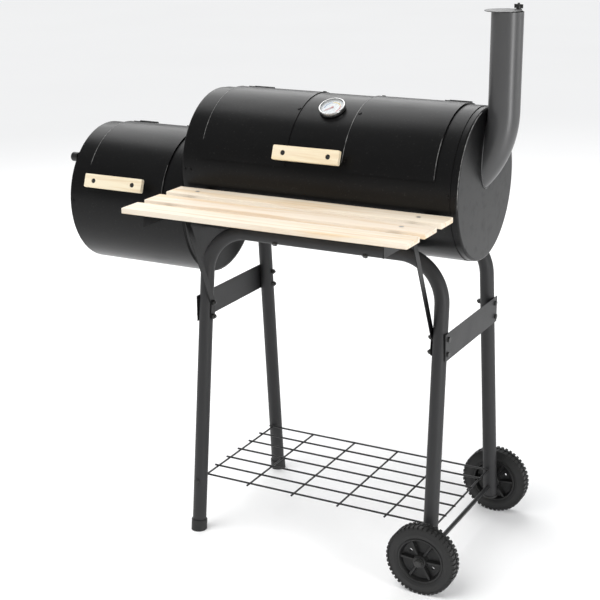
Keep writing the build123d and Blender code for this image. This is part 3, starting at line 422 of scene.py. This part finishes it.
for end, body, quarter in (("front", "front_wheel_body", 90), ("rear", "rear_wheel_body", -90)):
    low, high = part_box(end + "_wheel")
    at_axle = Matrix.Translation((low + high) / 2) @ Matrix.Rotation(math.radians(quarter), 4, "X")

    made = lathe(tyre_profile, tyre_steps)
    for i in range(lug_count):
        angle = math.tau * i / lug_count
        lug(made, angle, -lug_far, -lug_near)
        lug(made, angle + math.pi / lug_count, lug_near, lug_far)
    tyre = piece(end + "_tread_ring", made, tyre_black, body, at_axle)
    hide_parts(end + "_tyre")

    made = lathe(wheel_profile)
    for first in hole_steps:
        web_hole(made, first)
    for i in range(rib_count):
        for side in (-1, 1):
            rib(made, math.tau * i / rib_count - rib_lag, side)
    centre = piece(end + "_wheel_centre", made, wheel_black, body, at_axle, 30)
    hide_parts(end + "_wheel")

coat("axle_fittings", black_steel)


# ---- wire shelf and axle --------------------------------------------------------
# Welded wire rack between the legs, dipped in a smooth black coating of slightly
# uneven gloss. The push nuts that hold it and the axle have the same coating.
def dipped_recipe(place):
    runs = place.noise(45.0)
    return {
        "Base Color": runs.between((0.010, 0.010, 0.010), (0.022, 0.022, 0.023)),
        "Roughness": 0.30 + 0.18 * runs,
        "Normal": dents(place.noise(220.0), 0.25, 0.0005),
    }


coat("wire_shelf push_nuts axle", finish("wire_coat", dipped_recipe))


# ---- drums and end caps ---------------------------------------------------------
# Rolled 1.5 mm sheet with pressed end caps, painted in satin black heat-resistant
# enamel: faint orange peel, soft handling marks, a little dust.
def enamel_recipe(place):
    cloud = place.noise(5.0, 4.0)
    peel = place.noise(420.0, 2.0)
    smear = (place * (2.0, 9.0, 9.0)).noise(6.0, 4.0).band(0.45, 0.8)
    dust = place.noise(260.0, 3.0).band(0.62, 0.72)
    base = cloud.between((0.0035, 0.0035, 0.0037), (0.0065, 0.0065, 0.0067))
    return {
        "Base Color": (0.25 * dust).between(base, (0.06, 0.058, 0.055)),
        "Roughness": 0.27 + 0.07 * cloud + 0.08 * smear,
        "Specular IOR Level": 0.22,
        "Normal": dents(peel + 1.5 * cloud, 0.10, 0.0006),
    }


enamel = finish("black_enamel", enamel_recipe)
coat("main_shell main_cap_left main_cap_right fire_shell fire_cap_left fire_cap_right", enamel)
coat("saddles cap_rivets main_grate_rests fire_grate_rests", enamel)


# ---- grates ---------------------------------------------------------------------
# Wire grates with glassy black porcelain enamel, a little ash grey where food and
# coals rub, laid loose on the angle strips inside the drums.
def porcelain_recipe(place):
    rub = place.noise(70.0, 4.0).band(0.5, 0.7)
    return {
        "Base Color": (0.5 * rub).between((0.012, 0.012, 0.013), (0.09, 0.085, 0.08)),
        "Roughness": 0.22 + 0.3 * rub,
        "Normal": dents(place.noise(300.0), 0.2, 0.0004),
    }


porcelain = finish("porcelain", porcelain_recipe)
coat("cooking_grate_left cooking_grate_right charcoal_grate fire_grate", porcelain)


# ---- lids and hinges ------------------------------------------------------------
# Two hemmed lid panels riveted over a recessed middle strip, and a smaller hemmed lid
# on the firebox, on leaf hinges. Same enamel as the drums; thin beads on the folded
# hems and on the turned rim of the right end cap carry a painted highlight in a lighter,
# mottled grey.
coat("main_lid_left main_lid_right main_lid_strip main_lid_rivets fire_lid", enamel)
coat("hinge_fixed main_hinge_moving fire_hinge_moving", enamel)


# Painted highlight: a lighter, mottled grey on the hem beads that stands in for light catching the folded
# edges.
def hem_highlight_recipe(place):
    patch = place.noise(90.0, 4.0)
    return {
        "Base Color": patch.band(0.3, 0.7).between((0.05, 0.05, 0.05), (0.24, 0.24, 0.235)),
        "Roughness": 0.28 + 0.14 * patch,
        "Normal": dents(place.noise(600.0), 0.1, 0.0003),
    }


# Material of the painted highlight on the hem beads and the right cap rim.
painted_highlight_edge = finish("painted_highlight_edge", hem_highlight_recipe)
lid_radius, cap_rim_radius = 0.1675, 0.1621
bead_radius, bead_sink, bead_sides = 0.0008, 0.0004, 8
bead_tip, bead_growth, bead_steps = 0.2, 0.25, 60


# The beads carry the painted highlight along the hems and the cap rim.
def highlight_bead(shell, x, radius, start, stop):
    """A thin bead round a drum's curve, between two angles up from the front, thinner at its tips."""
    shell_low, shell_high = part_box(shell)
    centre = Vector((x, drum_mid.y, (shell_low.z + shell_high.z) / 2))
    made = bmesh.new()
    rings = []
    for i in range(bead_steps + 1):
        a = math.radians(start + (stop - start) * i / bead_steps)
        out = Vector((0, -math.cos(a), math.sin(a)))
        at = centre + (radius - bead_sink) * out
        thick = bead_radius * min(1, bead_tip + bead_growth * i, bead_tip + bead_growth * (bead_steps - i))
        ring = []
        for k in range(bead_sides):
            b = math.tau * k / bead_sides
            ring.append(made.verts.new(at + thick * (math.cos(b) * out + math.sin(b) * drum_way)))
        rings.append(ring)
    skin(made, rings, closed=False)
    return made


# Beads along the lid hems and the right cap rim, coloured with the painted highlight.
for name, node, shell, body, radius, side, start, stop in (
    ("main_left_hem", "main_lid_left", "main_shell", "main_lid", lid_radius, "left", 24, 104),
    ("main_panel_hem", "main_lid_right", "main_shell", "main_lid", lid_radius, "left", 16, 104),
    ("main_right_hem", "main_lid_right", "main_shell", "main_lid", lid_radius, "right", 12, 44),
    ("fire_left_hem", "fire_lid", "fire_shell", "firebox_lid", lid_radius, "left", 30, 104),
    ("fire_right_hem", "fire_lid", "fire_shell", "firebox_lid", lid_radius, "right", 12, 40),
    ("right_cap_rim", "main_cap_right", "main_shell", "frame_and_drums", cap_rim_radius, "right", -8, 78),
):
    low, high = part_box(node)
    x = low.x + bead_radius if side == "left" else high.x - bead_radius
    hem = piece(name, highlight_bead(shell, x, radius, start, stop), painted_highlight_edge, body, sharp=60)


# ---- wooden handles and shelf slats ---------------------------------------------
# Planed softwood with eased edges, lightly sealed: pale cream with soft lengthwise
# growth lines and a small knot here and there. The handles stand on black steel
# posts, and the slats lie on two enamelled brackets with struts.
def pine_recipe(pale, warm, latewood):
    def recipe(place):
        wave = place + (place * (1.4, 6.0, 6.0)).noise(2.2, 3.0) * 0.02
        lines = (wave * (1.1, 34.0, 34.0)).noise(3.2, 4.0, 0.6)
        fibre = (place * (6.0, 260.0, 260.0)).noise(6.0, 2.0)
        streak = (wave * (1.6, 22.0, 22.0)).noise(1.5, 2.0).band(0.50, 0.68)
        spots = place.node("TexVoronoi", None, {
            "Vector": place * (5.0, 13.0, 13.0), "Scale": 1.0, "Randomness": 1.0})
        knot = 1.0 - spots.band(0.02, 0.06)
        late = lines.band(0.46, 0.66)
        striped = (0.5 * late).between(streak.between(pale, warm), latewood)
        return {
            "Base Color": (0.6 * knot).between(striped, (0.36, 0.20, 0.09)),
            "Roughness": 0.50 + 0.14 * late + 0.08 * fibre,
            "Specular IOR Level": 0.3,
            "Normal": dents(fibre + 0.6 * late, 0.16, 0.0006),
        }
    return recipe


handle_pine = finish("handle_pine", pine_recipe(
    pale=(0.90, 0.80, 0.60), warm=(0.87, 0.74, 0.50), latewood=(0.74, 0.56, 0.34)))
coat("main_handle fire_handle", handle_pine)
coat("main_handle_posts fire_handle_posts", black_steel)
coat("shelf_brackets shelf_struts", enamel)

slat_length, slat_width, slat_thick, slat_mid_drop = 0.646, 0.060, 0.0119, 0.006
slat_pitch, slat_ease, slat_warp, warp_waves = 0.084, 0.0022, 0.00025, 1.2
slat_latewood = (0.70, 0.50, 0.31)
slat_tones = (  # pale and warm growth of each slat, from the drum outward
    ((0.86, 0.76, 0.62), (0.84, 0.68, 0.48)),
    ((0.84, 0.73, 0.60), (0.86, 0.66, 0.44)),
    ((0.86, 0.77, 0.64), (0.85, 0.65, 0.42)),
)


def board(name, size, body, place, wood):
    """A planed board: subdivided along its length, with rounded edges and a trace of warp."""
    made = bmesh.new()
    bmesh.ops.create_cube(made, size=1.0)
    bmesh.ops.scale(made, vec=size, verts=made.verts)
    bmesh.ops.bevel(made, geom=made.edges[:], offset=slat_ease, segments=3, profile=0.6, affect="EDGES")
    long_edges = [e for e in made.edges if abs(e.verts[0].co.x - e.verts[1].co.x) > 0.8 * size[0]]
    bmesh.ops.subdivide_edges(made, edges=long_edges, cuts=24)
    swing = random.uniform(0, math.tau)
    for v in made.verts:
        v.co.z += slat_warp * math.sin(math.tau * warp_waves * v.co.x / size[0] + swing) - slat_warp
    item = piece(name, made, wood, body, place, 40)
    return item


slat_low, slat_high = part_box("shelf_slats")
for i, (pale, warm) in enumerate(slat_tones):
    wood = finish(f"slat_pine_{i + 1}", pine_recipe(pale, warm, slat_latewood))
    middle = Vector(((slat_low.x + slat_high.x) / 2,
                     slat_high.y - slat_width / 2 - slat_pitch * i,
                     slat_high.z - slat_mid_drop))
    board(f"shelf_slat_{i + 1}", (slat_length, slat_width, slat_thick), "frame_and_drums",
                       Matrix.Translation(middle), wood)
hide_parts("shelf_slats")


# ---- thermometer ----------------------------------------------------------------
# Bimetal lid thermometer: a spun stainless case with a rolled bezel, a pale dial
# with printed scale and coloured bands, a red pointer and a flat glass.
def spun_recipe(place):
    rings = place.noise(1500.0, 1.0)
    return {
        "Base Color": place.noise(50.0).between((0.56, 0.56, 0.56), (0.70, 0.70, 0.69)),
        "Metallic": 1.0,
        "Roughness": 0.20 + 0.16 * rings,
        "Normal": dents(rings, 0.06, 0.0002),
    }


def print_recipe(tone):
    def recipe(place):
        speck = place.noise(900.0)
        return {
            "Base Color": speck.between(tuple(0.94 * c for c in tone), tone),
            "Roughness": 0.42 + 0.1 * speck,
        }
    return recipe


def glass_recipe(place):
    return {
        "Base Color": (0.95, 0.97, 0.97, 1),
        "Roughness": 0.03 + 0.05 * place.noise(40.0),
        "Alpha": 0.12 + 0.04 * place.noise(25.0),
    }


needle_joint = next(j for j in frame["joints"] if j["name"] == "thermometer_needle_turn")
dial_out = -Vector(needle_joint["axis"])
dial_frame = Matrix((drum_way, dial_out.cross(drum_way), dial_out)).transposed().to_4x4()
dial_frame.translation = Vector(needle_joint["pos_m"])
bezel_profile = [
    (0.0031, -0.0055), (0.0278, -0.0055), (0.0286, -0.0052), (0.0290, -0.0044), (0.0290, 0.0026),
    (0.0288, 0.0036), (0.0281, 0.0043), (0.0270, 0.0045), (0.0260, 0.0042), (0.0253, 0.0037),
    (0.0250, 0.0031), (0.0275, 0.0031), (0.0275, -0.0040), (0.0031, -0.0040),
]
bezel_steel = finish("spun_steel", spun_recipe)
bezel = piece("thermometer_bezel", lathe(bezel_profile, 120), bezel_steel, "main_lid", dial_frame, 40)
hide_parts("thermometer_case")
coat("thermometer_dial", finish("dial_white", print_recipe((0.66, 0.69, 0.71))))
coat("thermometer_needle", finish("pointer_red", print_recipe((0.42, 0.02, 0.015))))
coat("thermometer_glass", finish("dial_glass", glass_recipe))

dial_face = -0.0007
mark_count, mark_step, mark_half, first_mark = 28, 10, 0.9, 225
mark_out, short_mark_in, long_mark_in, mark_lift = 0.0243, 0.0225, 0.0205, 0.00012
band_in, band_out, band_lift = 0.0165, 0.0190, 0.0001


def dial_arc(made, r_in, r_out, start, stop, lift):
    """Thin printed band on the dial between two angles in degrees."""
    steps = max(2, int(abs(stop - start) / 4))
    for i in range(steps):
        a, b = (math.radians(start + (stop - start) * k / steps) for k in (i, i + 1))
        corners = ((r_in, a), (r_out, a), (r_out, b), (r_in, b))
        flat = [(r * math.cos(t), r * math.sin(t)) for r, t in corners]
        block(made, [(x, y, dial_face) for x, y in flat] + [(x, y, dial_face + lift) for x, y in flat])


def put_on_dial(name, made, ink):
    """Puts what is printed on the dial in the scene, in an ink."""
    bmesh.ops.recalc_face_normals(made, faces=made.faces)
    piece(name, made, ink, "main_lid", dial_frame)


scale = bmesh.new()
for i in range(mark_count):
    at = first_mark - mark_step * i
    mark_in = long_mark_in if i % 3 == 0 else short_mark_in
    dial_arc(scale, mark_in, mark_out, at - mark_half, at + mark_half, mark_lift)
put_on_dial("dial_scale", scale, finish("dial_ink", print_recipe((0.03, 0.03, 0.03))))
for name, start, stop, tone in (
    ("dial_band_smoke", 190, 110, (0.10, 0.22, 0.42)),
    ("dial_band_roast", 106, 30, (0.72, 0.50, 0.06)),
    ("dial_band_sear", 26, -42, (0.52, 0.05, 0.03)),
):
    band = bmesh.new()
    dial_arc(band, band_in, band_out, start, stop, band_lift)
    put_on_dial(name, band, finish(name, print_recipe(tone)))


# ---- air damper -----------------------------------------------------------------
# Swinging steel plate over the firebox's air inlet, same enamel, on one rivet. It
# turns by a black heat-resistant plastic knob.
coat("damper_plate", enamel)
coat("damper_knob", finish("knob_plastic", plastic_recipe(0.014, 0.34)))


# ---- chimney --------------------------------------------------------------------
# Bent steel tube welded to the right end cap, with a round rain cap that swings on
# a wing screw. Dark grey heat paint; the weld runs round the almond-shaped joint.
def stack_recipe(place):
    cloud = (place * (6.0, 6.0, 2.0)).noise(4.0, 4.0)
    return {
        "Base Color": cloud.between((0.042, 0.042, 0.043), (0.060, 0.060, 0.061)),
        "Roughness": 0.30 + 0.08 * cloud,
        "Specular IOR Level": 0.6,
        "Normal": dents(place.noise(500.0, 2.0) + cloud, 0.12, 0.0005),
    }


stack_grey = finish("stack_grey", stack_recipe)
coat("chimney chimney_cap", stack_grey)
coat("chimney_cap_screw", black_steel)
bend_radius, bend_height, stack_radius, stack_standoff = 0.205, 1.013, 0.033, 0.0335
weld_radius, weld_lift, weld_steps, weld_sides = 0.0016, 0.0006, 144, 8
ripple, ripple_turn, unevenness = 0.14, 2.1, 0.08
weld_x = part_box("main_cap_right")[1].x + weld_lift
weld_reach = bend_radius - stack_standoff

seam = []
for i in range(weld_steps):
    t = math.tau * i / weld_steps
    drop = math.sqrt((bend_radius + stack_radius * math.cos(t)) ** 2 - weld_reach ** 2)
    seam.append(Vector((weld_x, drum_mid.y + stack_radius * math.sin(t), bend_height - drop)))
made = bmesh.new()
rings = []
for i, at in enumerate(seam):
    run = (seam[(i + 1) % weld_steps] - seam[i - 1]).normalized()
    across = run.cross(drum_way).normalized()
    swell = weld_radius * (1 + ripple * math.sin(i * ripple_turn) + unevenness * random.uniform(-1, 1))
    ring = []
    for k in range(weld_sides):
        a = math.tau * k / weld_sides
        ring.append(made.verts.new(at + swell * (math.cos(a) * across + math.sin(a) * drum_way)))
    rings.append(ring)
skin(made, rings)
weld = piece("chimney_weld", made, stack_grey, "frame_and_drums", sharp=60)
